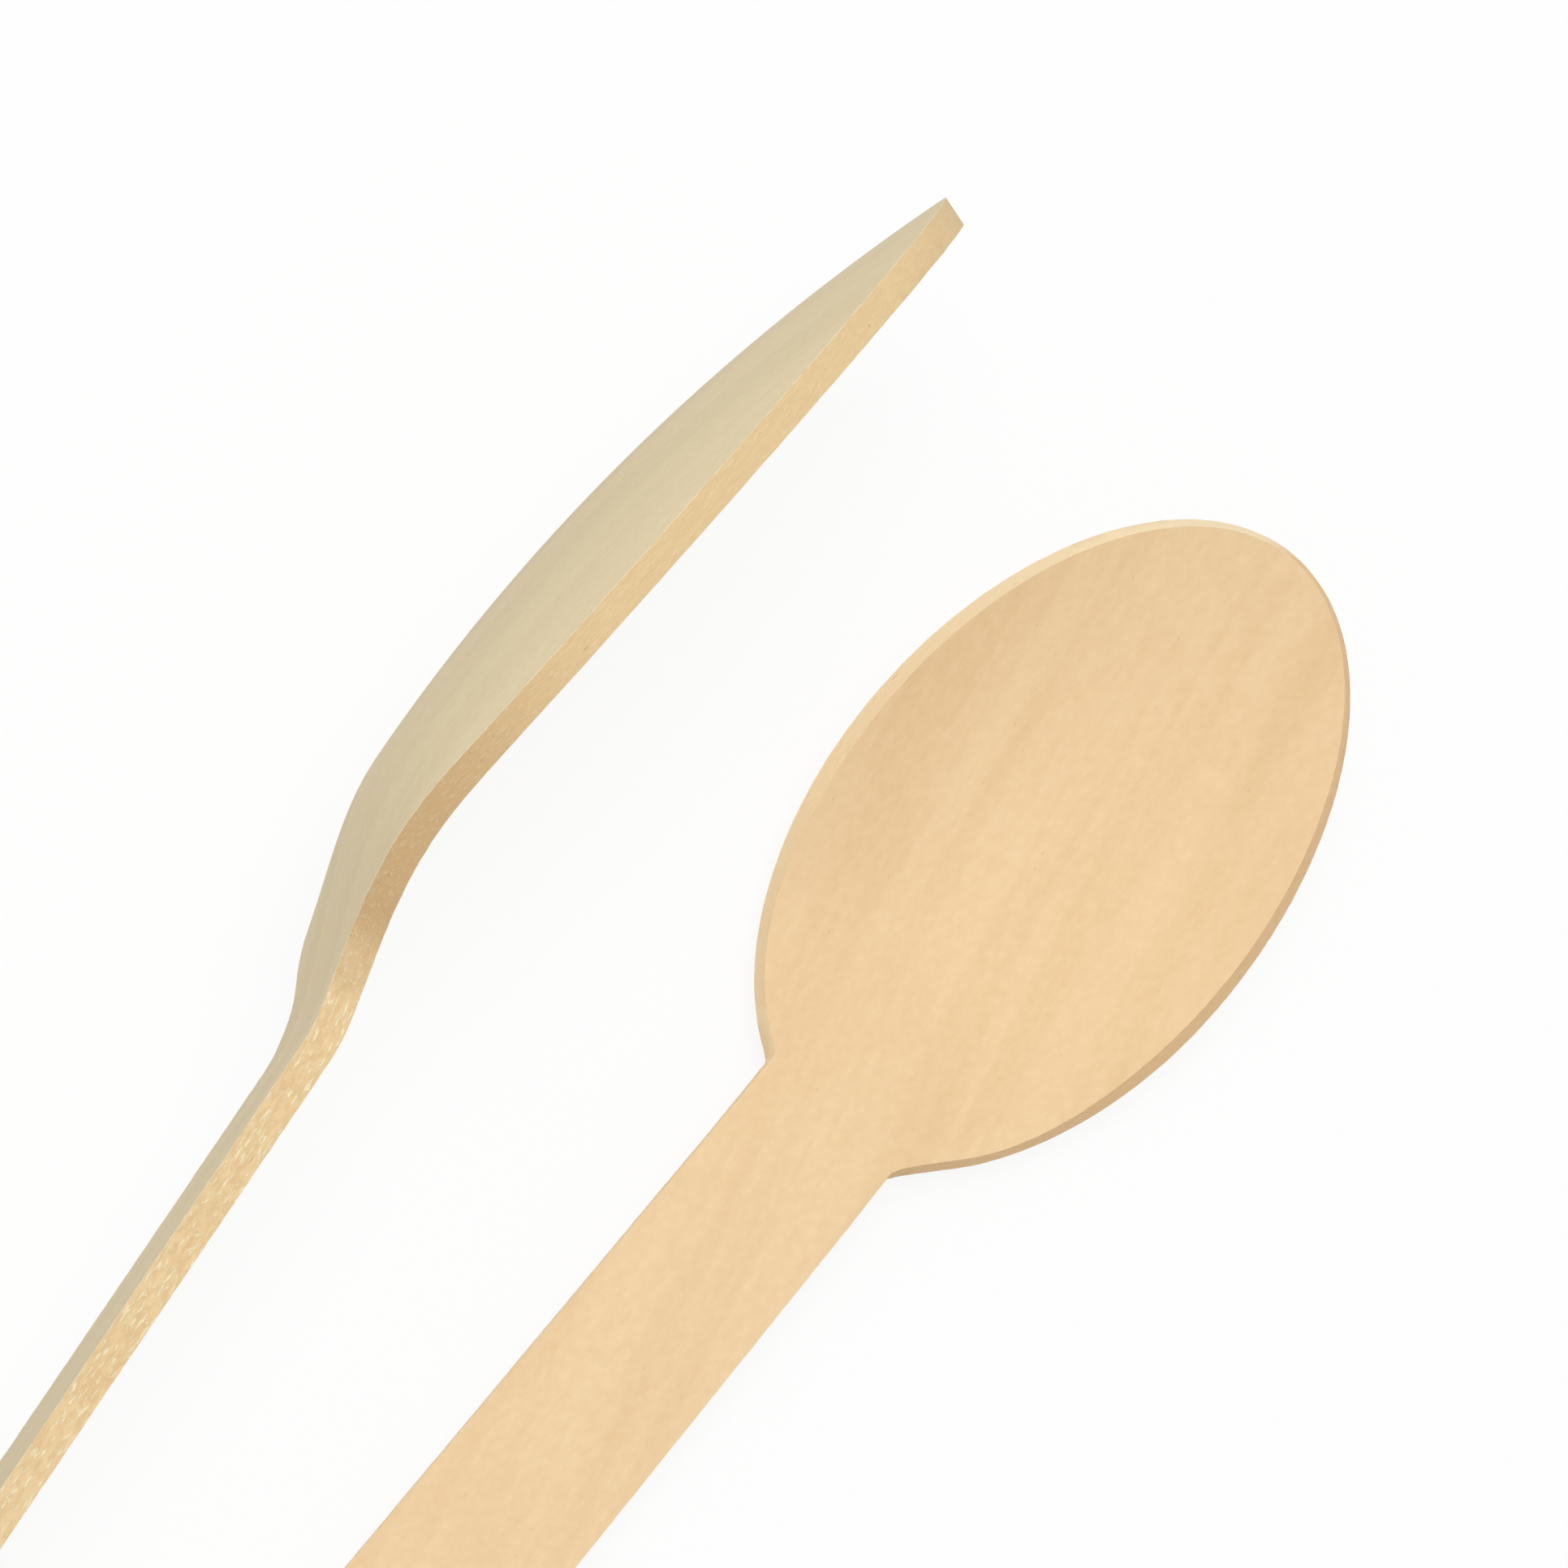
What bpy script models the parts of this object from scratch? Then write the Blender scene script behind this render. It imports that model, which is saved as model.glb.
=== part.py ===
"""A pair of disposable spoons, each blanked from one sheet of birch veneer and pressed to shape.

The small spoon lies on its back. The large spoon stands beside it on its cut long edge, on the
rim of its bowl and the end of its handle, with its hollow side towards the small one.
Metres, +Z up, +Y along the small spoon from handle to tip, origin under the middle of the pair.
"""
import math
from dataclasses import dataclass

import bmesh
import bpy
import numpy as np
from mathutils import Matrix

# Small spoon: the outline of its blank. One side of the neck has a fillet, the other a corner.
# The fillet's side is 1 for the right and -1 for the left, seen on the front, tip ahead.
SMALL_LENGTH = 0.160
SMALL_BOWL_LENGTH = 0.0568
SMALL_BOWL_WIDTH = 0.034
SMALL_NECK_WIDTH = 0.0123
SMALL_END_WIDTH = 0.0139
SMALL_NECK_FILLET = 0.0037
SMALL_NECK_CORNER = 0.0007
SMALL_FILLET_SIDE = 1
# Small spoon: the veneer and how deep the die presses it
SMALL_THICKNESS = 0.0020
SMALL_PRESS_DEPTH = 0.0055
SMALL_TIP_RISE = 0.0040
SMALL_DISH_DEPTH = 0.0048
SMALL_BEND_BEHIND_NECK = 0.0089
SMALL_BEND_INTO_BOWL = 0.0200
SMALL_DISH_BEHIND_NECK = 0.0031

# Large spoon: the outline of its blank
LARGE_LENGTH = 0.200
LARGE_BOWL_LENGTH = 0.0780
LARGE_BOWL_WIDTH = 0.0425
LARGE_NECK_WIDTH = 0.0157
LARGE_END_WIDTH = 0.0183
LARGE_NECK_FILLET = 0.0043
LARGE_NECK_CORNER = 0.0015
LARGE_FILLET_SIDE = -1
# Large spoon: the veneer and how deep the die presses it
LARGE_THICKNESS = 0.0024
LARGE_PRESS_DEPTH = 0.0066
LARGE_TIP_RISE = 0.0046
LARGE_DISH_DEPTH = 0.0051
LARGE_BEND_BEHIND_NECK = 0.0063
LARGE_BEND_INTO_BOWL = 0.0168
LARGE_DISH_BEHIND_NECK = 0.0017

# Both spoons: the sanded edge
EDGE_BREAK = 0.00008

# The large spoon's place: beside the small bowl, its neck behind the small neck, turned outwards
SIDE_GAP = 0.0170
NECK_SETBACK = 0.0231
OUTWARD_TURN = math.radians(5.8)

# Fineness of the mesh: columns across, and rows along each stretch
COLUMNS = 14
END_ROWS = 7
HANDLE_ROWS = 6
NECK_ROWS = 20
BOWL_ROWS = 22
WELD_DISTANCE = 0.00001

# Colour as linear values, roughness
BIRCH_COLOUR = (0.80, 0.60, 0.36, 1.0)
BIRCH_ROUGHNESS = 0.62


@dataclass
class Spoon:
    """Every size of one spoon. y runs along it, 0 at the neck; x across; z towards its front."""
    name: str
    length: float
    bowl_length: float
    bowl_width: float
    neck_width: float
    end_width: float
    neck_fillet: float
    neck_corner: float
    fillet_side: int
    thickness: float
    press_depth: float
    tip_rise: float
    dish_depth: float
    bend_behind_neck: float
    bend_into_bowl: float
    dish_behind_neck: float

    @property
    def bowl_middle(self):
        """Middle of the bowl's ellipse, which meets the handle's sides at y = 0."""
        return self.bowl_length / 2 * math.sqrt(1 - (self.neck_width / self.bowl_width) ** 2)

    @property
    def tip(self):
        return self.bowl_middle + self.bowl_length / 2

    @property
    def handle_end(self):
        return self.tip - self.length


SMALL = Spoon("small_spoon", SMALL_LENGTH, SMALL_BOWL_LENGTH, SMALL_BOWL_WIDTH, SMALL_NECK_WIDTH,
              SMALL_END_WIDTH, SMALL_NECK_FILLET, SMALL_NECK_CORNER, SMALL_FILLET_SIDE,
              SMALL_THICKNESS, SMALL_PRESS_DEPTH, SMALL_TIP_RISE, SMALL_DISH_DEPTH,
              SMALL_BEND_BEHIND_NECK, SMALL_BEND_INTO_BOWL, SMALL_DISH_BEHIND_NECK)
LARGE = Spoon("large_spoon", LARGE_LENGTH, LARGE_BOWL_LENGTH, LARGE_BOWL_WIDTH, LARGE_NECK_WIDTH,
              LARGE_END_WIDTH, LARGE_NECK_FILLET, LARGE_NECK_CORNER, LARGE_FILLET_SIDE,
              LARGE_THICKNESS, LARGE_PRESS_DEPTH, LARGE_TIP_RISE, LARGE_DISH_DEPTH,
              LARGE_BEND_BEHIND_NECK, LARGE_BEND_INTO_BOWL, LARGE_DISH_BEHIND_NECK)


def clear_scene():
    for old in list(bpy.data.objects):
        bpy.data.objects.remove(old, do_unlink=True)


def ease(t):
    """A smooth step from 0 to 1."""
    t = min(max(t, 0.0), 1.0)
    return t * t * (3 - 2 * t)


def rounded_max(a, b, blend):
    """The larger of two half widths, with the corner between them rounded over the blend."""
    h = min(max(0.5 + (a - b) / (2 * blend), 0.0), 1.0)
    return b + (a - b) * h + blend * h * (1 - h)


def half_width(spoon, y, blend):
    """Half the blank's width: a tapered handle with a half-round end, run into an ellipse."""
    share = y / spoon.handle_end
    handle = (spoon.neck_width + (spoon.end_width - spoon.neck_width) * share) / 2
    end_round = spoon.end_width / 2
    inside_end = (spoon.handle_end + end_round - y) / end_round
    if inside_end > 0:
        return handle * math.sqrt(max(1 - inside_end ** 2, 0.0))
    along = (y - spoon.bowl_middle) / (spoon.bowl_length / 2)
    bowl = spoon.bowl_width / 2 * math.sqrt(max(1 - along ** 2, 0.0))
    if along > 0:
        return bowl
    return rounded_max(handle, bowl, blend)


def centre_height(spoon, y):
    """The pressed centre line: flat handle, bend down at the neck, then a long rise to the tip."""
    start = -spoon.bend_behind_neck
    deepest = spoon.bend_into_bowl
    down = ease((y - start) / (deepest - start))
    rise = max(y - deepest, 0.0) / (spoon.tip - deepest)
    return -spoon.press_depth * down + (spoon.press_depth + spoon.tip_rise) * rise ** 2


def pressed_height(spoon, x, y):
    """The die's surface: the centre line, dished across as a parabola from the neck onwards."""
    start = -spoon.dish_behind_neck
    dish = ease((y - start) / (spoon.bend_into_bowl - start))
    return centre_height(spoon, y) + spoon.dish_depth * dish * (2 * x / spoon.bowl_width) ** 2


def row_places(spoon):
    """y of every row: close together at both round ends and in the bend, far apart on the handle."""
    end_round = spoon.end_width / 2
    end_turn = np.linspace(0, math.pi / 2, END_ROWS, endpoint=False)
    end_rows = spoon.handle_end + end_round * (1 - np.cos(end_turn))
    bend_start = -spoon.bend_behind_neck
    handle_rows = np.linspace(spoon.handle_end + end_round, bend_start, HANDLE_ROWS, endpoint=False)
    neck_rows = np.linspace(bend_start, spoon.bend_into_bowl, NECK_ROWS, endpoint=False)
    bowl_turn = np.linspace(0, math.pi / 2, BOWL_ROWS)
    bowl_rows = spoon.bend_into_bowl + (spoon.tip - spoon.bend_into_bowl) * np.sin(bowl_turn)
    return np.concatenate([end_rows, handle_rows, neck_rows, bowl_rows])


def birch(name):
    material = bpy.data.materials.new(name)
    material.use_nodes = True
    shader = material.node_tree.nodes["Principled BSDF"]
    shader.inputs["Base Color"].default_value = BIRCH_COLOUR
    shader.inputs["Roughness"].default_value = BIRCH_ROUGHNESS
    shader.inputs["Metallic"].default_value = 0.0
    material.diffuse_color = BIRCH_COLOUR
    return material


def press_spoon(spoon):
    """Draw the blank as a grid, press it on the die, and give it the veneer's thickness."""
    rows = row_places(spoon)
    last_row = len(rows) - 1
    bm = bmesh.new()
    bmesh.ops.create_grid(bm, x_segments=COLUMNS, y_segments=last_row, size=1.0)
    for vert in bm.verts:
        side = vert.co.x
        y = float(rows[round((vert.co.y + 1) / 2 * last_row)])
        on_fillet_side = side * spoon.fillet_side > 0
        blend = spoon.neck_fillet if on_fillet_side else spoon.neck_corner
        x = side * half_width(spoon, y, blend)
        vert.co = (x, y, pressed_height(spoon, x, y))
    bmesh.ops.remove_doubles(bm, verts=bm.verts, dist=WELD_DISTANCE)
    mesh = bpy.data.meshes.new(spoon.name)
    bm.to_mesh(mesh)
    bm.free()
    body = bpy.data.objects.new(spoon.name, mesh)
    bpy.context.collection.objects.link(body)
    mesh.materials.append(birch(spoon.name + "_birch"))

    veneer = body.modifiers.new("veneer", "SOLIDIFY")
    veneer.thickness = spoon.thickness
    veneer.offset = 0.0
    veneer.use_even_offset = True
    veneer.use_quality_normals = True
    sanded = body.modifiers.new("sanded_edge", "BEVEL")
    sanded.width = EDGE_BREAK
    sanded.segments = 1
    sanded.limit_method = "ANGLE"
    sanded.angle_limit = math.radians(60)
    mesh.shade_smooth()
    mesh.set_sharp_from_angle(angle=math.radians(40))
    return body


def finished_points(body):
    """The finished corners of a piece as an array, in its own frame."""
    finished = body.evaluated_get(bpy.context.evaluated_depsgraph_get()).data
    points = np.empty(len(finished.vertices) * 3)
    finished.vertices.foreach_get("co", points)
    return points.reshape(-1, 3)


def turned(points, matrix):
    return points @ np.array(matrix.to_3x3()).T + np.array(matrix.translation)


def rest_matrix(spoon, points, stance):
    """The stance, tipped until the handle's lowest point and the bowl's both touch the floor."""
    on_handle = points[:, 1] < -spoon.bend_behind_neck
    low, high = -math.pi / 8, math.pi / 8
    for _ in range(40):
        tilt = (low + high) / 2
        heights = turned(points, Matrix.Rotation(tilt, 4, "X") @ stance)[:, 2]
        if heights[on_handle].min() > heights[~on_handle].min():
            low = tilt
        else:
            high = tilt
    tipped = Matrix.Rotation(tilt, 4, "X") @ stance
    drop = turned(points, tipped)[:, 2].min()
    return Matrix.Translation((0, 0, -drop)) @ tipped


def main():
    clear_scene()
    small = press_spoon(SMALL)
    large = press_spoon(LARGE)
    small_points = finished_points(small)
    large_points = finished_points(large)

    small_place = rest_matrix(SMALL, small_points, Matrix.Identity(4))
    on_edge = Matrix.Rotation(math.pi / 2, 4, "Y")
    beside = Matrix.Translation((-SMALL.bowl_width / 2 - SIDE_GAP, -NECK_SETBACK, 0))
    outward = Matrix.Rotation(OUTWARD_TURN, 4, "Z")
    large_place = beside @ outward @ rest_matrix(LARGE, large_points, on_edge)

    pair = np.concatenate([turned(small_points, small_place), turned(large_points, large_place)])
    middle = (pair.min(axis=0) + pair.max(axis=0)) / 2
    centred = Matrix.Translation((-middle[0], -middle[1], -pair[:, 2].min()))
    small.matrix_world = centred @ small_place
    large.matrix_world = centred @ large_place


main()
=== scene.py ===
# %% [markdown]
# A pair of disposable spoons of birch veneer: a small one lying on its back and a large one
# standing on its long edge beside it. Each real spoon is cut from one flat sheet of veneer and
# then pressed in a heated die, so each is modelled here in the same order: a flat blank, the
# press, the thickness, and the sanded corner. First the imported model is loaded. It says where each
# spoon is, and its box is kept, because the finished pieces must fill the same box. It says where
# each spoon is, and its box is kept, to be printed at the end beside the box of the finished pieces.

# %% The frame
import math
from dataclasses import dataclass

import bmesh
import bpy
import numpy as np
from mathutils import Matrix, Quaternion, Vector


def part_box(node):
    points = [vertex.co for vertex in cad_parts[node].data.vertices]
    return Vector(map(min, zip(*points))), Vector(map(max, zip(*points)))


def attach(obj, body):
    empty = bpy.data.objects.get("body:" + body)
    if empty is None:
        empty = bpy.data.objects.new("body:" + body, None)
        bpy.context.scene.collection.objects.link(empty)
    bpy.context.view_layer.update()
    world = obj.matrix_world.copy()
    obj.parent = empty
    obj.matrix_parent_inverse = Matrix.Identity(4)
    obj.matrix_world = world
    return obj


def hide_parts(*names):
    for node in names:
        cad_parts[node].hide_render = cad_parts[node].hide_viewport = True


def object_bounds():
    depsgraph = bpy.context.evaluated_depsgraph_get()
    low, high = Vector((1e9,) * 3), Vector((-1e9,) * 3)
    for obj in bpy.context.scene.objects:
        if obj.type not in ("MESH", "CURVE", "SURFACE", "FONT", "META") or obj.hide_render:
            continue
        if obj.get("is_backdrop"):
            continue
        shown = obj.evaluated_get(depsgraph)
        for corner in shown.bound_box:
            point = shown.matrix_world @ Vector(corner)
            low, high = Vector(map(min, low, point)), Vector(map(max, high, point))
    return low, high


MM = 0.001
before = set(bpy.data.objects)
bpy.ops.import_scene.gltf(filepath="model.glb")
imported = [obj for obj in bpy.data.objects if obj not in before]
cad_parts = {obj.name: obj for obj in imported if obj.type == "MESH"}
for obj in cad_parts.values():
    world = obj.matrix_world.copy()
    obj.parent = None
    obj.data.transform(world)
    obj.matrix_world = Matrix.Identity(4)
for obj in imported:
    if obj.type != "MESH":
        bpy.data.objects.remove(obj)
cad_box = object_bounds()
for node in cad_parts:
    low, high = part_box(node)
    print(node, "box in mm", [round(v / MM, 1) for v in (*low, *high)])

# %% [markdown]
# The picture was taken with a long lens from above the handles, with the camera rolled so that the
# spoons run up to the right. Such a view could be set by typing a location and three angles. Here
# it is built from what a photographer would say: the point aimed at, how far away the camera is,
# how steeply it looks down, which way it heads, and its roll about its own line of sight.

# %% The camera
AIM = Vector((-4.74, 64.53, 0.0)) * MM
AIM_DISTANCE = 1026.6 * MM
LOOK_DOWN = math.radians(69.63)
HEADING = math.radians(8.62)
ROLL = math.radians(48.72)
LENS = 313.66
SENSOR = 36.0

line_of_sight = Vector((math.sin(HEADING) * math.cos(LOOK_DOWN),
                        math.cos(HEADING) * math.cos(LOOK_DOWN),
                        -math.sin(LOOK_DOWN)))
camera_data = bpy.data.cameras.new("camera")
camera_data.lens = LENS
camera_data.sensor_width = SENSOR
camera = bpy.data.objects.new("camera", camera_data)
bpy.context.scene.collection.objects.link(camera)
bpy.context.scene.camera = camera
camera.rotation_mode = "QUATERNION"
camera.rotation_quaternion = (line_of_sight.to_track_quat("-Z", "Y")
                              @ Quaternion((0, 0, 1), ROLL))
camera.location = AIM - line_of_sight * AIM_DISTANCE
print("camera at", [round(v, 4) for v in camera.location])

# %% [markdown]
# The outline of a blank is a tapered handle with a half-round end, which runs into an ellipse. At
# the neck one side has a rounded fillet and the other a crisp corner. The fillet's side is 1 for
# the right and -1 for the left, seen on the front with the tip ahead. The sizes are those of the
# solid model, so the two agree. y runs along the spoon and is 0 at the neck, x runs across, and z
# points to the hollow front.


# %% The sizes of both spoons
@dataclass
class Spoon:
    node: str
    length: float
    bowl_length: float
    bowl_width: float
    neck_width: float
    end_width: float
    neck_fillet: float
    neck_corner: float
    fillet_side: int
    thickness: float
    press_depth: float
    tip_rise: float
    dish_depth: float
    bend_behind_neck: float
    bend_into_bowl: float
    dish_behind_neck: float

    @property
    def bowl_middle(self):
        return self.bowl_length / 2 * math.sqrt(1 - (self.neck_width / self.bowl_width) ** 2)

    @property
    def tip(self):
        return self.bowl_middle + self.bowl_length / 2

    @property
    def handle_end(self):
        return self.tip - self.length


SMALL = Spoon(node="small_spoon", length=160 * MM, bowl_length=56.8 * MM, bowl_width=34 * MM,
              neck_width=12.3 * MM, end_width=13.9 * MM, neck_fillet=3.7 * MM,
              neck_corner=0.7 * MM, fillet_side=1, thickness=2.0 * MM, press_depth=5.5 * MM,
              tip_rise=4.0 * MM, dish_depth=4.8 * MM, bend_behind_neck=8.9 * MM,
              bend_into_bowl=20.0 * MM, dish_behind_neck=3.1 * MM)
LARGE = Spoon(node="large_spoon", length=200 * MM, bowl_length=78 * MM, bowl_width=42.5 * MM,
              neck_width=15.7 * MM, end_width=18.3 * MM, neck_fillet=4.3 * MM,
              neck_corner=1.5 * MM, fillet_side=-1, thickness=2.4 * MM, press_depth=6.6 * MM,
              tip_rise=4.6 * MM, dish_depth=5.1 * MM, bend_behind_neck=6.3 * MM,
              bend_into_bowl=16.8 * MM, dish_behind_neck=1.7 * MM)
for spoon in (SMALL, LARGE):
    print(spoon.node, "tip at", round(spoon.tip / MM, 1), "handle end at",
          round(spoon.handle_end / MM, 1), "mm from the neck")


# %% The outline of the blank
def rounded_max(a, b, blend):
    """The larger of two half widths, with the corner between them rounded over the blend."""
    h = min(max(0.5 + (a - b) / (2 * blend), 0.0), 1.0)
    return b + (a - b) * h + blend * h * (1 - h)


def half_width(spoon, y, blend):
    share = y / spoon.handle_end
    handle = (spoon.neck_width + (spoon.end_width - spoon.neck_width) * share) / 2
    end_round = spoon.end_width / 2
    inside_end = (spoon.handle_end + end_round - y) / end_round
    if inside_end > 0:
        return handle * math.sqrt(max(1 - inside_end ** 2, 0.0))
    along = (y - spoon.bowl_middle) / (spoon.bowl_length / 2)
    bowl = spoon.bowl_width / 2 * math.sqrt(max(1 - along ** 2, 0.0))
    if along > 0:
        return bowl
    return rounded_max(handle, bowl, blend)


print("half width of the small bowl",
      round(half_width(SMALL, SMALL.bowl_middle, SMALL.neck_fillet) / MM, 2), "mm")

# %% [markdown]
# The die bends the blank down at the neck, dishes it across, and lifts it again in one long rise
# to the tip. Two short formulas give its shape: the height of its centre line, and how strongly
# it curves across. Across it is a parabola, and that is the shape which a shallow trough keeps
# when it is stretched sideways and upwards.


# %% The shape of the die
def ease(t):
    """A smooth step from 0 to 1, for numbers and for arrays."""
    t = np.clip(t, 0.0, 1.0)
    return t * t * (3 - 2 * t)


def centre_height(spoon, y):
    start, deepest = -spoon.bend_behind_neck, spoon.bend_into_bowl
    down = ease((y - start) / (deepest - start))
    rise = np.maximum(y - deepest, 0.0) / (spoon.tip - deepest)
    return -spoon.press_depth * down + (spoon.press_depth + spoon.tip_rise) * rise ** 2


def dish(spoon, y):
    """How strongly the die curves the blank across: the height is this times x squared."""
    start = -spoon.dish_behind_neck
    share = ease((y - start) / (spoon.bend_into_bowl - start))
    return spoon.dish_depth * share * (2 / spoon.bowl_width) ** 2


print("the small die is", round(-float(centre_height(SMALL, SMALL.bend_into_bowl)) / MM, 1),
      "mm deep where the bowl is lowest")

# %% [markdown]
# In edit mode an operator acts on whatever is selected. These helpers open a piece with nothing
# selected, select a list of corners, and sort the corners of a grid into its rows or columns.

# %% Helpers for working on a piece
PLACE_DIGITS = 5


def activate(piece):
    bpy.ops.object.select_all(action="DESELECT")
    bpy.context.view_layer.objects.active = piece
    piece.select_set(True)


def add_grid(name, columns, rows):
    """A flat square grid from -1 to 1 each way, open in edit mode with nothing selected."""
    bpy.ops.object.select_all(action="DESELECT")
    bpy.ops.mesh.primitive_grid_add(x_subdivisions=columns, y_subdivisions=rows, size=2,
                                    location=(0, 0, 0))
    piece = bpy.context.object
    piece.name = piece.data.name = name
    bpy.ops.object.mode_set(mode="EDIT")
    bpy.ops.mesh.select_all(action="DESELECT")
    return piece


def pick(verts):
    """Select these corners and nothing else."""
    bpy.ops.mesh.select_all(action="DESELECT")
    for vert in verts:
        vert.select = True


def lines_of(verts, axis):
    """Sort the corners of a grid into lines that share a place along one axis."""
    lines = {}
    for vert in verts:
        lines.setdefault(round(vert.co[axis], PLACE_DIGITS), []).append(vert)
    return [lines[place] for place in sorted(lines)]


def shift(verts, x=0.0, y=0.0, z=0.0):
    pick(verts)
    bpy.ops.transform.translate(value=(x, y, z))


def stretch(verts, centre, x=1.0, y=1.0, z=1.0):
    pick(verts)
    bpy.ops.transform.resize(value=(x, y, z), center_override=centre)


def apply_modifiers(piece):
    for modifier in list(piece.modifiers):
        bpy.ops.object.modifier_apply(modifier=modifier.name)


# %% [markdown]
# The die is a plain rectangular sheet, a little wider than the bowl. Its columns are lifted into
# a trough, and each row of the trough is then made as deep as the die is there and moved down to
# the height of its centre line. It is only a tool, and it is thrown away after pressing.

# %% The die
DIE_COLUMNS = 120
DIE_STEP = 0.5 * MM
DIE_MARGIN = 1.06


def make_die(spoon):
    half = spoon.bowl_width / 2 * DIE_MARGIN
    first, last = spoon.handle_end - DIE_STEP, spoon.tip + DIE_STEP
    row_count = round((last - first) / DIE_STEP)
    die = add_grid(spoon.node + "_die", DIE_COLUMNS, row_count)
    bm = bmesh.from_edit_mesh(die.data)
    rows, columns = lines_of(bm.verts, 1), lines_of(bm.verts, 0)
    for column in columns:
        shift(column, z=column[0].co.x ** 2)
    for row, y in zip(rows, np.linspace(first, last, row_count + 1).tolist()):
        shift(row, y=y - row[0].co.y)
        stretch(row, (0, y, 0), x=half, z=float(dish(spoon, y)) * half ** 2)
        shift(row, z=float(centre_height(spoon, y)))
    bpy.ops.object.mode_set(mode="OBJECT")
    print(die.name, "has", len(rows), "rows")
    return die


small_die = make_die(SMALL)
large_die = make_die(LARGE)

# %% [markdown]
# The blank starts as a grid too, but its rows follow the outline. A grid squeezed to a point at
# its ends would bunch up there, so its four corners are set on the round ends, 42 degrees off
# the middle line, and the rows bend more and more into arcs towards each end. The rows lie
# close together at the neck, where the outline turns sharply.

# %% Where the rows of the blank lie
COLUMNS = 40
CORNER_TURN = math.radians(42)
END_ROWS = 12
NECK_ROWS = 48
NECK_BUNCHING = 0.4
BOWL_ROWS = 80
HANDLE_STEP = 0.6 * MM


def row_places(spoon):
    """y of each row's two outer corners, from the handle's end to the tip."""
    end_round = spoon.end_width / 2
    end_turn = np.linspace(CORNER_TURN, math.pi / 2, END_ROWS, endpoint=False)
    end_rows = spoon.handle_end + end_round * (1 - np.cos(end_turn))
    bend = -spoon.bend_behind_neck
    straight = bend - spoon.handle_end - end_round
    handle_rows = np.linspace(spoon.handle_end + end_round, bend,
                              round(straight / HANDLE_STEP), endpoint=False)
    share = np.linspace(-1, 1, NECK_ROWS, endpoint=False)
    bunched = (1 - NECK_BUNCHING) * share + NECK_BUNCHING * share ** 3
    neck_rows = np.where(share < 0, spoon.bend_behind_neck, spoon.bend_into_bowl) * bunched
    half_bowl = spoon.bowl_length / 2
    bowl_start = math.acos((spoon.bend_into_bowl - spoon.bowl_middle) / half_bowl)
    bowl_turn = np.linspace(bowl_start, CORNER_TURN, BOWL_ROWS)
    bowl_rows = spoon.bowl_middle + half_bowl * np.cos(bowl_turn)
    return np.concatenate([end_rows, handle_rows, neck_rows, bowl_rows]).tolist()


def row_bulge(spoon, y):
    """How far the middle of a row stands ahead of its outer corners: less than 0 at the handle."""
    half_bowl, end_round = spoon.bowl_length / 2, spoon.end_width / 2
    rest = 1 - math.cos(CORNER_TURN)
    into_tip = (y - spoon.bowl_middle) / (half_bowl * math.cos(CORNER_TURN))
    into_end = (spoon.handle_end + end_round - y) / (end_round * math.cos(CORNER_TURN))
    return (half_bowl * rest * max(into_tip, 0.0) ** 2
            - end_round * rest * max(into_end, 0.0) ** 2)


print("rows:", len(row_places(SMALL)), "and", len(row_places(LARGE)))

# %% [markdown]
# To cut a blank, each column of the grid is first moved along its arc, so that every row is an
# arc that is 1 high. Each row then goes to its place, its arc is scaled to the bulge it needs
# there, and its two halves are scaled to the outline, one with the fillet and one with the corner.


# %% Cutting a blank
def cut_blank(spoon):
    places = row_places(spoon)
    blank = add_grid(spoon.node + "_veneer", COLUMNS, len(places) - 1)
    bm = bmesh.from_edit_mesh(blank.data)
    rows, columns = lines_of(bm.verts, 1), lines_of(bm.verts, 0)
    for column in columns:
        off_middle = column[0].co.x * math.sin(CORNER_TURN)
        arc = math.sqrt(1 - off_middle ** 2) - math.cos(CORNER_TURN)
        shift(column, y=arc / (1 - math.cos(CORNER_TURN)))
    for row, y in zip(rows, places):
        corner = min(row, key=lambda vert: vert.co.x)
        shift(row, y=y - corner.co.y)
        stretch(row, (0, y, 0), y=row_bulge(spoon, y))
        right = [vert for vert in row if vert.co.x > 0]
        left = [vert for vert in row if vert.co.x < 0]
        filleted, cornered = (right, left) if spoon.fillet_side > 0 else (left, right)
        stretch(filleted, (0, y, 0), x=half_width(spoon, y, spoon.neck_fillet))
        stretch(cornered, (0, y, 0), x=half_width(spoon, y, spoon.neck_corner))
    bpy.ops.object.mode_set(mode="OBJECT")
    print(blank.name, "is", [round(v / MM, 2) for v in blank.dimensions], "mm")
    return blank


small = cut_blank(SMALL)
large = cut_blank(LARGE)

# %% [markdown]
# Pressing. A Shrinkwrap modifier in its Project mode pushes every corner of the blank straight
# down or up onto the die, just as the press does. Then the modifier is applied and the die goes.


# %% Pressing the blanks
def press(blank, die):
    activate(blank)
    pressing = blank.modifiers.new("pressing", "SHRINKWRAP")
    pressing.target = die
    pressing.wrap_method = "PROJECT"
    pressing.use_project_z = True
    pressing.use_negative_direction = True
    apply_modifiers(blank)
    bpy.data.objects.remove(die)
    print(blank.name, "is now", round(blank.dimensions.z / MM, 2), "mm deep")


press(small, small_die)
press(large, large_die)
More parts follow.
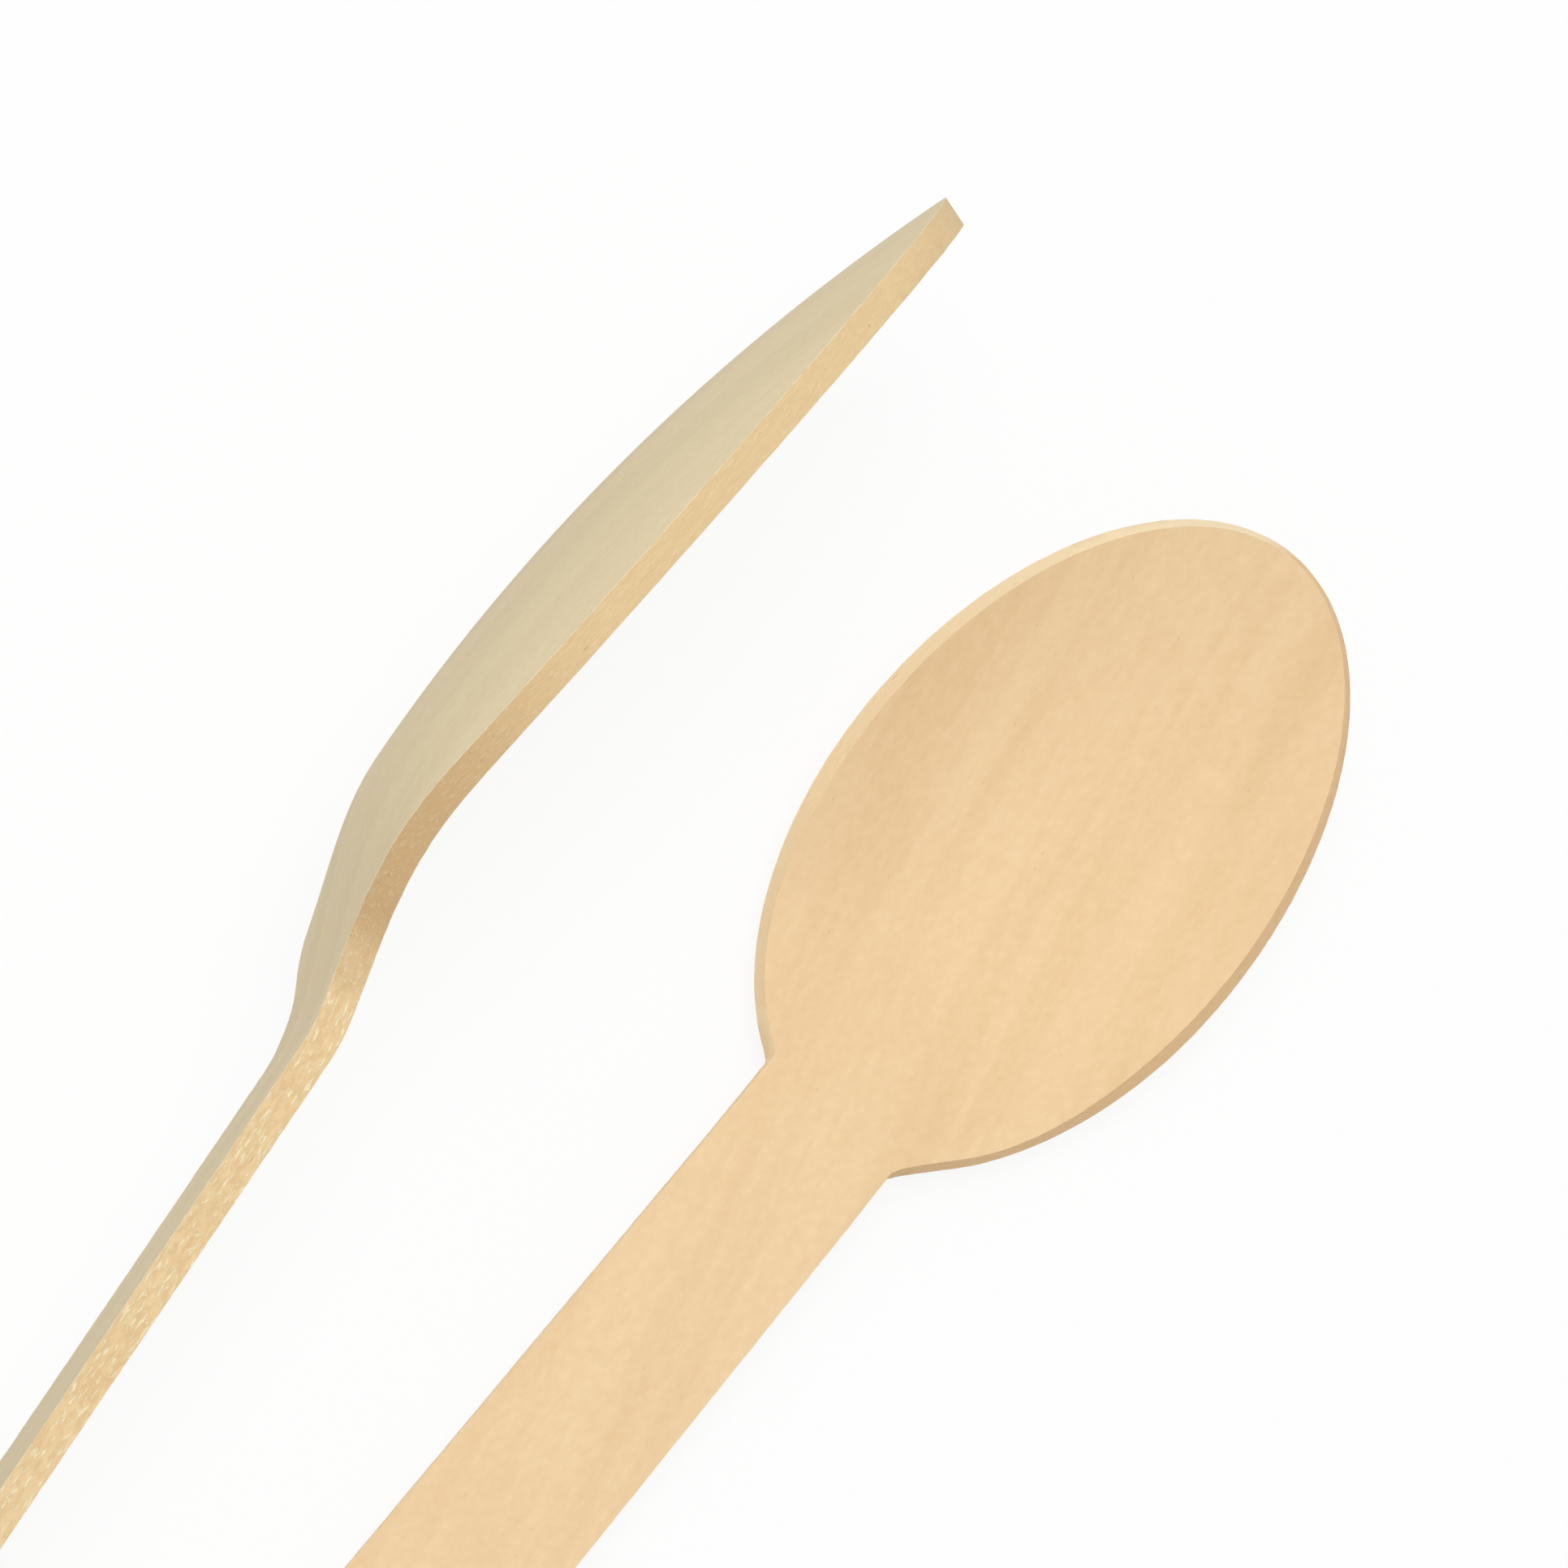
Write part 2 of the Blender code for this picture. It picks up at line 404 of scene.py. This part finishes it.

# %% [markdown]
# The veneer gets its thickness from a Solidify modifier with an even offset, half to each side of
# the die's surface. It also gives the cut edge a material of its own. The corners of the cut are
# then roughened by about a hundredth of a millimetre, because a knife tears single fibres out of
# birch, and a narrow bevel stands for the sanding that follows. The bevel has its own material
# too, lighter than the faces: partly as sanded wood is paler, partly as a painted highlight.

# %% Thickness and sanded corners
SLOT_COUNT = 4
FRONT, BACK, CUT_EDGE, CORNER = range(SLOT_COUNT)
TORN = 0.015 * MM
TORN_SEEDS = {"small_spoon": 3, "large_spoon": 8}
SANDED = 0.20 * MM
SANDED_STEPS = 2
SHARP = math.radians(50)
SMOOTH_BELOW = math.radians(20)


def thicken(piece, spoon):
    activate(piece)
    for _ in range(SLOT_COUNT):
        piece.data.materials.append(None)
    veneer = piece.modifiers.new("veneer", "SOLIDIFY")
    veneer.thickness = spoon.thickness
    veneer.offset = 0.0
    veneer.use_even_offset = True
    veneer.use_quality_normals = True
    veneer.material_offset = BACK
    veneer.material_offset_rim = CUT_EDGE
    apply_modifiers(piece)
    bpy.ops.object.mode_set(mode="EDIT")
    bpy.ops.mesh.select_mode(type="EDGE")
    bpy.ops.mesh.select_all(action="DESELECT")
    bpy.ops.mesh.edges_select_sharp(sharpness=SHARP)
    bpy.ops.transform.vertex_random(offset=TORN, uniform=1.0, seed=TORN_SEEDS[spoon.node])
    bpy.ops.mesh.select_mode(type="VERT")
    bpy.ops.object.mode_set(mode="OBJECT")
    sanding = piece.modifiers.new("sanding", "BEVEL")
    sanding.width = SANDED
    sanding.segments = SANDED_STEPS
    sanding.limit_method = "ANGLE"
    sanding.angle_limit = SHARP
    sanding.material = CORNER
    apply_modifiers(piece)
    bpy.ops.object.shade_smooth_by_angle(angle=SMOOTH_BELOW)
    print(piece.name, "finished:", len(piece.data.polygons), "faces")


thicken(small, SMALL)
thicken(large, LARGE)

# %% [markdown]
# The wood's pattern belongs to the flat sheet, so every corner remembers where it was in the
# blank: across, along, and through the thickness. The materials read this instead of the place
# in the room, so the growth bands bend with the veneer.


# %% The sheet attribute
def mesh_points(piece):
    points = np.empty(len(piece.data.vertices) * 3)
    piece.data.vertices.foreach_get("co", points)
    return points.reshape(-1, 3)


def remember_sheet(piece, spoon):
    sheet = mesh_points(piece)
    x, y = sheet[:, 0], sheet[:, 1]
    sheet[:, 2] -= centre_height(spoon, y) + dish(spoon, y) * x ** 2
    attribute = piece.data.attributes.new("sheet", "FLOAT_VECTOR", "POINT")
    attribute.data.foreach_set("vector", sheet.ravel())
    print(piece.name, "sheet runs", np.round(sheet.min(axis=0) / MM, 1), "to",
          np.round(sheet.max(axis=0) / MM, 1), "mm")


remember_sheet(small, SMALL)
remember_sheet(large, LARGE)

# %% [markdown]
# Setting down. Both spoons touch the table with the end of the handle and with the bowl. The tilt
# at which that happens has no short formula, so it is found by halving: if the handle hangs
# higher than the bowl, tip it down, else up. The small spoon lies on its back. The large one is
# first turned a quarter about y, onto its long edge, and afterwards turned out a little. The box
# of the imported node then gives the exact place.

# %% Setting the spoons down
OUTWARD_TURN = math.radians(5.8)
WIDEST_TILT = math.pi / 8
HALVINGS = 40


def set_down(piece, spoon, stance, turn):
    points = mesh_points(piece)
    on_handle = points[:, 1] < -spoon.bend_behind_neck
    low, high = -WIDEST_TILT, WIDEST_TILT
    for _ in range(HALVINGS):
        tilt = (low + high) / 2
        tipped = Matrix.Rotation(tilt, 3, "X") @ stance
        heights = points @ np.array(tipped)[2]
        if heights[on_handle].min() > heights[~on_handle].min():
            low = tilt
        else:
            high = tilt
    piece.data.transform((Matrix.Rotation(turn, 3, "Z") @ tipped).to_4x4())
    placed = mesh_points(piece)
    node_low, node_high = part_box(spoon.node)
    move = (np.array(node_low) + node_high - placed.min(axis=0) - placed.max(axis=0)) / 2
    move[2] = -placed[:, 2].min()
    piece.data.transform(Matrix.Translation(move))
    print(piece.name, "tilted by", round(math.degrees(tilt), 2), "degrees")


set_down(small, SMALL, Matrix.Identity(3), 0.0)
set_down(large, LARGE, Matrix.Rotation(math.pi / 2, 3, "Y"), OUTWARD_TURN)

# %% [markdown]
# Materials are node trees, and a long tree of maths is hard to read. So a number that varies over
# the surface is wrapped in a small class: to add or multiply two of them adds the Math node.
# Every other kind of node comes from one method, which takes its settings first and then what
# goes into its sockets.


# %% Shader maths as Python
class Number:
    def __init__(self, tree, socket):
        self.tree = tree
        self.socket = socket

    def math(self, operation, other):
        node = self.tree.node("ShaderNodeMath", {"operation": operation}, {0: self, 1: other})
        return Number(self.tree, node.outputs[0])

    def __add__(self, other):
        return self.math("ADD", other)

    def __sub__(self, other):
        return self.math("SUBTRACT", other)

    def __mul__(self, other):
        return self.math("MULTIPLY", other)

    __radd__ = __add__


class Tree:
    """A new material and its node tree."""

    def __init__(self, name):
        self.material = bpy.data.materials.new(name)
        self.material.use_nodes = True
        self.nodes = self.material.node_tree.nodes
        self.links = self.material.node_tree.links

    def node(self, kind, settings, sockets):
        node = self.nodes.new(kind)
        for name, value in settings.items():
            setattr(node, name, value)
        for key, value in sockets.items():
            self.plug(node.inputs[key], value)
        return node

    def plug(self, socket, value):
        if isinstance(value, Number):
            value = value.socket
        if isinstance(value, bpy.types.NodeSocket):
            self.links.new(value, socket)
        else:
            socket.default_value = value


# %% [markdown]
# Wood is one solid pattern with a direction, and a few words describe all of it here. A grain is
# noise stretched along the sheet. Specks are small spots scattered about. A step turns a number
# softly from 0 to 1, and a mix blends two colours. A place is the distance from the neck or from
# the middle line. Sizes are in metres on the sheet, as a Texture mapping divides by them.

# %% The words for wood
SPOT_CORE = 0.4
RARITY_BLEND = 0.05
WOOD_SHINE = 0.25


class Wood(Tree):
    def sheet(self):
        """Where this point of the surface was in the flat sheet, in metres."""
        node = self.node("ShaderNodeAttribute", {"attribute_name": "sheet"}, {})
        return node.outputs["Vector"]

    def place(self, axis):
        """Metres on the sheet: X is less than 0 on its left, and Y is 0 at the neck."""
        axes = self.node("ShaderNodeSeparateXYZ", {}, {"Vector": self.sheet()})
        return Number(self, axes.outputs[axis])

    def mapped(self, sizes, turn, offset):
        """The sheet measured in cells of these sizes, turned on it and moved by the offset."""
        node = self.node("ShaderNodeMapping", {"vector_type": "TEXTURE"},
                         {"Vector": self.sheet(), "Location": (offset, offset, offset),
                          "Rotation": (0, 0, turn), "Scale": sizes})
        return node.outputs["Vector"]

    def grain(self, sizes, turn, offset, detail=2, roughness=0.5):
        """Noise with features of these sizes, from 0 to 1 and mostly near a half."""
        noise = self.node("ShaderNodeTexNoise", {},
                          {"Vector": self.mapped(sizes, turn, offset), "Scale": 1.0,
                           "Detail": detail, "Roughness": roughness})
        return Number(self, noise.outputs["Fac"])

    def step(self, value, low, high):
        """0 below low, 1 above high, smooth between. With low above high it falls instead."""
        node = self.node("ShaderNodeMapRange", {"interpolation_type": "SMOOTHSTEP"},
                         {"Value": value, "From Min": low, "From Max": high})
        return Number(self, node.outputs["Result"])

    def specks(self, sizes, turn, offset, radius, rarity):
        """Spots with this radius, as a share of their cell. Only the rarest cells have one."""
        cells = self.node("ShaderNodeTexVoronoi", {},
                          {"Vector": self.mapped(sizes, turn, offset), "Scale": 1.0})
        spot = self.step(cells.outputs["Distance"], radius, radius * SPOT_CORE)
        chosen = self.node("ShaderNodeSeparateColor", {}, {"Color": cells.outputs["Color"]})
        return spot * self.step(chosen.outputs["Red"], rarity, rarity + RARITY_BLEND)

    def mix(self, a, b, share):
        node = self.node("ShaderNodeMix", {"data_type": "RGBA", "clamp_factor": True},
                         {0: share, 6: a, 7: b})
        return node.outputs[2]

    def finish(self, colour, roughness, height, relief):
        """Plug the surface into the shader, with a bump whose height is a share of the relief."""
        bump = self.node("ShaderNodeBump", {}, {"Height": height, "Distance": relief,
                                                "Strength": 1.0})
        shader = self.nodes["Principled BSDF"]
        self.plug(shader.inputs["Base Color"], colour)
        self.plug(shader.inputs["Roughness"], roughness)
        self.plug(shader.inputs["Normal"], bump.outputs["Normal"])
        shader.inputs["Specular IOR Level"].default_value = WOOD_SHINE
        return self.material


def seen(red, green, blue):
    """A colour read off a screen, 0 to 255, as the linear colour that a shader wants.

    The numbers in it are those of the standard curve of screens.
    """
    screen = [v / 255 for v in (red, green, blue)]
    return (*[((v + 0.055) / 1.055) ** 2.4 for v in screen], 1.0)


print("white as a linear colour:", seen(255, 255, 255))

# %% [markdown]
# The faces of the veneer are peeled off the log by a long knife, so growth rings show as broad,
# faint, wandering bands. Over them lie fine fibres, soft clouds of lighter and darker wood, and
# pores like pin pricks. The contrast is kept low: birch looks plain from a step away. The
# patterns are taken from places far apart in the noise, so that they don't line up.

# %% The peeled faces
APART = 0.1
BAND_SIZE = (3.2 * MM, 60 * MM, 20 * MM)
BAND_TURN = math.radians(12)
BAND_STEP = (0.38, 0.68)
CLOUD_SIZE = (7 * MM, 16 * MM, 9 * MM)
FIBRE_SIZE = (0.16 * MM, 5 * MM, 0.3 * MM)
FIBRE_TURN = math.radians(2)
MOTTLE_SIZE = (0.5 * MM, 0.9 * MM, 0.6 * MM)
PORE_CELL = (1.1 * MM, 1.9 * MM, 1.5 * MM)
PORE_RADIUS, PORE_RARITY = 0.085, 0.72
PORE_COLOUR, PORE_SHARE = seen(188, 150, 106), 0.25
BAND_SHADE, CLOUD_SHADE, FIBRE_SHADE, MOTTLE_SHADE = 0.22, 0.34, 0.14, 0.50
FACE_LIGHTENED = 0.12
FACE_ROUGHNESS, FIBRE_ROUGHNESS, MOTTLE_ROUGHNESS = 0.56, 0.12, 0.06
FIBRE_HEIGHT, MOTTLE_HEIGHT, PORE_DEPTH = 0.5, 0.35, 0.6
FACE_RELIEF = 0.02 * MM


def peeled_face(name, light, dark, offset):
    wood = Wood(name)
    bands = wood.step(wood.grain(BAND_SIZE, BAND_TURN, offset, roughness=0.6), *BAND_STEP)
    clouds = wood.grain(CLOUD_SIZE, 0.0, offset + APART, detail=3)
    fibres = wood.grain(FIBRE_SIZE, FIBRE_TURN, offset, detail=3, roughness=0.7)
    mottle = wood.grain(MOTTLE_SIZE, 0.0, offset + 2 * APART)
    pores = wood.specks(PORE_CELL, BAND_TURN, offset, PORE_RADIUS, PORE_RARITY)
    shade = (bands * BAND_SHADE + clouds * CLOUD_SHADE + fibres * FIBRE_SHADE
             + mottle * MOTTLE_SHADE - FACE_LIGHTENED)
    colour = wood.mix(light, dark, shade)
    colour = wood.mix(colour, PORE_COLOUR, pores * PORE_SHARE)
    roughness = FACE_ROUGHNESS + fibres * FIBRE_ROUGHNESS + mottle * MOTTLE_ROUGHNESS
    height = fibres * FIBRE_HEIGHT + mottle * MOTTLE_HEIGHT - pores * PORE_DEPTH
    return wood.finish(colour, roughness, height, FACE_RELIEF)


small_face = peeled_face("small_birch_face", light=seen(243, 216, 174),
                         dark=seen(222, 188, 141), offset=0.03)
large_front = peeled_face("large_birch_front", light=seen(240, 214, 172),
                          dark=seen(220, 188, 141), offset=0.07)
# Painted shade: the large spoon's back is greyer and cooler than its front, standing in for the
# cool, dimmer light on it.
large_back_painted_shade = peeled_face("large_birch_back_painted_shade", light=seen(237, 220, 181),
                         dark=seen(218, 200, 162), offset=0.11)
print("nodes in a face:", len(small_face.node_tree.nodes))

# %% [markdown]
# The cut edge shows the fibres from the side. They are short, bright, silky streaks in paler and
# darker tufts, with a few small slits where the knife tore one out. Along the handle the edge is
# torn most. Just past the neck of the large spoon the edge is darkened as painted shade, and the
# left side of the small one is lightened as painted light, where the large spoon shades it. All of
# it is read off the sheet's own places: each fade runs from its first distance to its second.

# %% The cut edges
LAYER_SIZE = (0.5 * MM, 26 * MM, 0.35 * MM)
STREAK_SIZE = (0.22 * MM, 1.1 * MM, 0.20 * MM)
TUFT_SIZE = (0.5 * MM, 1.0 * MM, 0.4 * MM)
TUFT_STEP, SILK_STEP = (0.35, 0.65), (0.50, 0.64)
PIT_CELL = (0.4 * MM, 2.6 * MM, 0.4 * MM)
PIT_RADIUS, PIT_RARITY = 0.17, 0.84
TORN_FADE = (4 * MM, -3 * MM)
LEAST_TORN = 0.3
# Painted light: the fade across the sheet that lightens the left side of each cut edge.
LEFT_LIGHT_FADE = (1 * MM, -3 * MM)
# Painted shade: the fade in and out along the edge just past the neck, where the large spoon's edge
# is darkened.
NECK_SHADE_FADE_IN, NECK_SHADE_FADE_OUT = (0.0, 4 * MM), (30 * MM, 10 * MM)
LAYER_SHADE, TUFT_SHADE, STREAK_SHADE = 0.4, 0.45, 0.4
EDGE_LIGHTENED = 0.1
# The colour of the painted shade just past the neck.
NECK_SHADE_COLOUR = seen(194, 157, 110)
SILK_COLOUR, SILK_SHARE = seen(253, 240, 202), 0.6
PIT_COLOUR, PIT_SHARE = seen(176, 136, 92), 0.4
EDGE_ROUGHNESS, STREAK_ROUGHNESS = 0.62, 0.15
STREAK_HEIGHT, SILK_HEIGHT, PIT_DEPTH = 0.8, 0.4, 0.6
EDGE_RELIEF = 0.05 * MM


def cut_edge(name, light, dark, left_light_colour, left_light_share, neck_shade_share, offset):
    wood = Wood(name)
    layers = wood.grain(LAYER_SIZE, 0.0, offset)
    streaks = wood.grain(STREAK_SIZE, 0.0, offset + APART, detail=3, roughness=0.65)
    tufts = wood.step(wood.grain(TUFT_SIZE, 0.0, offset + 3 * APART), *TUFT_STEP)
    pits = wood.specks(PIT_CELL, 0.0, offset, PIT_RADIUS, PIT_RARITY)
    along = wood.place("Y")
    torn = LEAST_TORN + wood.step(along, *TORN_FADE) * (1 - LEAST_TORN)
    silk = wood.step(streaks, *SILK_STEP) * torn
    # Painted light: the left side of the edge is mixed toward a lighter colour.
    left_light_mask = wood.step(wood.place("X"), *LEFT_LIGHT_FADE)
    # Painted shade: the edge just past the neck is mixed toward a darker colour.
    neck_shade = wood.step(along, *NECK_SHADE_FADE_IN) * wood.step(along, *NECK_SHADE_FADE_OUT)
    shade = (layers * LAYER_SHADE + tufts * torn * TUFT_SHADE + streaks * STREAK_SHADE
             - EDGE_LIGHTENED)
    colour = wood.mix(light, dark, shade)
    # After the base colour come painted light on the left side and painted shade just past the neck.
    colour = wood.mix(colour, left_light_colour, left_light_mask * left_light_share)
    colour = wood.mix(colour, NECK_SHADE_COLOUR, neck_shade * neck_shade_share)
    colour = wood.mix(colour, SILK_COLOUR, silk * SILK_SHARE)
    colour = wood.mix(colour, PIT_COLOUR, pits * PIT_SHARE)
    roughness = EDGE_ROUGHNESS + streaks * STREAK_ROUGHNESS
    height = streaks * STREAK_HEIGHT + silk * SILK_HEIGHT - pits * PIT_DEPTH
    return wood.finish(colour, roughness, height, EDGE_RELIEF)


# The small spoon's edge gets strong painted light on its left side, where the large spoon shades it.
small_edge = cut_edge("small_birch_edge", light=seen(250, 211, 160), dark=seen(230, 186, 132),
                      left_light_colour=seen(255, 236, 198), left_light_share=0.85, neck_shade_share=0.0,
                      offset=0.05)
# The large spoon's edge gets painted shade just past the neck, and only a small pull of its left
# side toward a middle tone.
large_edge = cut_edge("large_birch_edge", light=seen(240, 213, 165), dark=seen(214, 178, 128),
                      left_light_colour=seen(228, 197, 148), left_light_share=0.2, neck_shade_share=0.65,
                      offset=0.15)
print("nodes in a cut edge:", len(small_edge.node_tree.nodes))

# %% [markdown]
# The sanded corner is a line of tiny chips, lighter than both faces that it lies between: partly
# paler sanded wood, partly a painted highlight.

# %% The sanded corners, with a painted highlight
CHIP_SIZE = (0.3 * MM, 1.3 * MM, 0.3 * MM)
CHIP_STEP = (0.45, 0.65)
CORNER_ROUGHNESS, CHIP_ROUGHNESS = 0.6, 0.1


def sanded_corner_with_highlight(name, light, dark, offset):
    wood = Wood(name)
    chips = wood.grain(CHIP_SIZE, 0.0, offset, detail=3, roughness=0.7)
    colour = wood.mix(light, dark, wood.step(chips, *CHIP_STEP))
    roughness = CORNER_ROUGHNESS + chips * CHIP_ROUGHNESS
    return wood.finish(colour, roughness, chips, EDGE_RELIEF)


# The light colours of the corners are partly a painted highlight along them.
small_corner_highlight = sanded_corner_with_highlight("small_birch_corner_highlight", light=seen(250, 228, 190),
                             dark=seen(236, 206, 162), offset=0.02)
large_corner_highlight = sanded_corner_with_highlight("large_birch_corner_highlight", light=seen(255, 244, 216),
                             dark=seen(232, 208, 166), offset=0.09)
print("nodes in a corner:", len(small_corner_highlight.node_tree.nodes))

# %% [markdown]
# The Solidify and the Bevel modifier have already numbered the faces, so the materials only have
# to be put into the slots in the same order: front, back, cut edge and corner.


# %% Giving the pieces their materials
def dress(piece, front, back, edge, corner):
    slots = {FRONT: front, BACK: back, CUT_EDGE: edge, CORNER: corner}
    for index, material in slots.items():
        piece.data.materials[index] = material
    print(piece.name, "wears", [material.name for material in slots.values()])


dress(small, small_face, small_face, small_edge, small_corner_highlight)
dress(large, large_front, large_back_painted_shade, large_edge, large_corner_highlight)

# %% [markdown]
# Now come the names that tie the pieces to the imported model: each takes the place of its node
# and rides on the one body.

# %% Tying the pieces to the model
for piece, spoon, slot in ((small, SMALL, "small_birch"), (large, LARGE, "large_birch")):
    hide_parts(spoon.node)
    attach(piece, "root")
    print(piece.name, "replaces", spoon.node)

# %% [markdown]
# The studio. The spoons lie on a wide pale floor. To the camera most of the floor is drawn as
# plain white, and the rest is its own lit surface, so the background is white and the shadow
# stays as a faint one.

# %% The floor
FLOOR_SIZE = 8.0
FLOOR_DROP = 0.01 * MM
FLOOR_COLOUR = (0.86, 0.86, 0.86, 1.0)
FLOOR_ROUGHNESS = 0.9
FLOOR_SHINE = 0.1
WHITE = (1.0, 1.0, 1.0, 1.0)
PLAIN_SHARE = 0.9

bpy.ops.object.select_all(action="DESELECT")
bpy.ops.mesh.primitive_plane_add(size=FLOOR_SIZE, location=(0, 0, -FLOOR_DROP))
floor = bpy.context.object
floor.name = "floor"
paper = Tree("white_paper")
floor.data.materials.append(paper.material)
surface = paper.nodes["Principled BSDF"]
surface.inputs["Base Color"].default_value = FLOOR_COLOUR
surface.inputs["Roughness"].default_value = FLOOR_ROUGHNESS
surface.inputs["Specular IOR Level"].default_value = FLOOR_SHINE
ray = paper.node("ShaderNodeLightPath", {}, {})
camera_ray, glossy_ray, clear_ray = [
    Number(paper, ray.outputs[kind])
    for kind in ("Is Camera Ray", "Is Glossy Ray", "Is Transmission Ray")]
plain_white = paper.node("ShaderNodeEmission", {}, {"Color": WHITE, "Strength": 1.0})
seen_floor = paper.node("ShaderNodeMixShader", {},
                        {0: (camera_ray + glossy_ray + clear_ray) * PLAIN_SHARE,
                         1: surface.outputs["BSDF"], 2: plain_white.outputs["Emission"]})
paper.plug(paper.nodes["Material Output"].inputs["Surface"], seen_floor.outputs["Shader"])
floor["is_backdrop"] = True
print("floor of", FLOOR_SIZE, "m")

# %% [markdown]
# The light is an even white sky and one large soft lamp, nearly overhead and a little to the
# left. The level is plain: a colour comes out about as bright as it is written.

# %% The light
SKY_STRENGTH = 0.48
LAMP_WAY = Vector((-0.16, 0.02, 1.0)).normalized()
LAMP_DISTANCE = 1.1
LAMP_SIZE = 0.7
LAMP_WATTS = 7.5

world = bpy.data.worlds.new("sky")
world.use_nodes = True
sky = world.node_tree.nodes["Background"]
sky.inputs["Color"].default_value = WHITE
sky.inputs["Strength"].default_value = SKY_STRENGTH
bpy.context.scene.world = world
lamp_data = bpy.data.lights.new("soft_lamp", "AREA")
lamp_data.shape = "DISK"
lamp_data.size = LAMP_SIZE
lamp_data.energy = LAMP_WATTS
lamp = bpy.data.objects.new("soft_lamp", lamp_data)
bpy.context.scene.collection.objects.link(lamp)
lamp.location = AIM + LAMP_WAY * LAMP_DISTANCE
lamp.rotation_mode = "QUATERNION"
lamp.rotation_quaternion = (-LAMP_WAY).to_track_quat("-Z", "Y")
bpy.context.scene.view_settings.view_transform = "Standard"
print("lamp at", [round(v, 2) for v in lamp.location])

# %% The two boxes, and the end
boxes = {"cad": [list(corner) for corner in cad_box],
         "visual": [list(corner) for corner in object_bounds()]}
for name, box in boxes.items():
    print(name, "box in mm", np.round(np.array(box) / MM, 2).tolist())
